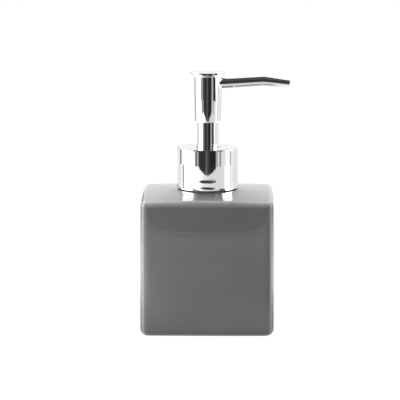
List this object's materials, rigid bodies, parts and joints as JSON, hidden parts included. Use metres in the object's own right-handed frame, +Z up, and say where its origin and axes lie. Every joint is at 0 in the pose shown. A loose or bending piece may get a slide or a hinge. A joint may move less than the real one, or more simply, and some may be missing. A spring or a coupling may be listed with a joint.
{
  "type": "soap dispenser",
  "caption": "Square ceramic soap dispenser with rounded edges, a chromed screw collar and a press pump with a long slim spout.",
  "frame": {"origin": "centre of the bottle's flat base, on the pump's axis", "axes": "+Z up along the pump's axis, +X along the spout, -Y towards the front"},
  "size_m": [0.0836, 0.075, 0.1431],
  "materials": {
    "glaze": "glossy glaze",
    "chrome": "mirror",
    "white_plastic": "moulded",
    "natural_plastic": "translucent moulded",
    "seal": "soft matt",
    "steel": "bright"
  },
  "bodies": {
    "bottle_body": {"bottle": "glaze", "mouth_seal": "seal", "neck_insert": "white_plastic"},
    "pump_body": {"neck_gasket": "seal", "guide_ring": "white_plastic", "pump_housing": "natural_plastic", "ball_retainer": "natural_plastic", "dip_tube": "natural_plastic", "return_spring": "steel"},
    "inlet_ball_body": {"inlet_ball": "steel"},
    "collar_body": {"closure": "white_plastic", "collar_shell": "chrome"},
    "plunger_body": {"piston_core": "white_plastic", "piston_seal": "seal"},
    "outlet_ball_body": {"outlet_ball": "steel"},
    "head_body": {"stem": "natural_plastic", "stem_sleeve": "chrome", "head_insert": "white_plastic", "head_shell": "chrome", "head_cap": "chrome", "spout": "chrome"}
  },
  "joints": [
    {"name": "pump_lift", "type": "slide", "parent": "bottle_body", "child": "pump_body", "axis": [0, 0, 1], "range_m": [0, 0.11]},
    {"name": "collar_unscrew", "type": "hinge", "parent": "pump_body", "child": "collar_body", "pos_m": [0, 0, 0.0901], "axis": [0, 0, 1], "range_deg": [0, 360]},
    {"name": "head_press", "type": "slide", "parent": "pump_body", "child": "plunger_body", "axis": [0, 0, -1], "range_m": [0, 0.012], "stiffness_N_per_m": 500, "springref_m": -0.012, "deforming": ["return_spring"]},
    {"name": "head_swivel", "type": "hinge", "parent": "plunger_body", "child": "head_body", "pos_m": [0, 0, 0.1155], "axis": [0, 0, 1], "continuous": true},
    {"name": "inlet_ball_lift", "type": "slide", "parent": "pump_body", "child": "inlet_ball_body", "axis": [0, 0, 1], "range_m": [0, 0.001]},
    {"name": "outlet_ball_lift", "type": "slide", "parent": "plunger_body", "child": "outlet_ball_body", "axis": [0, 0, 1], "range_m": [0, 0.001]}
  ]
}
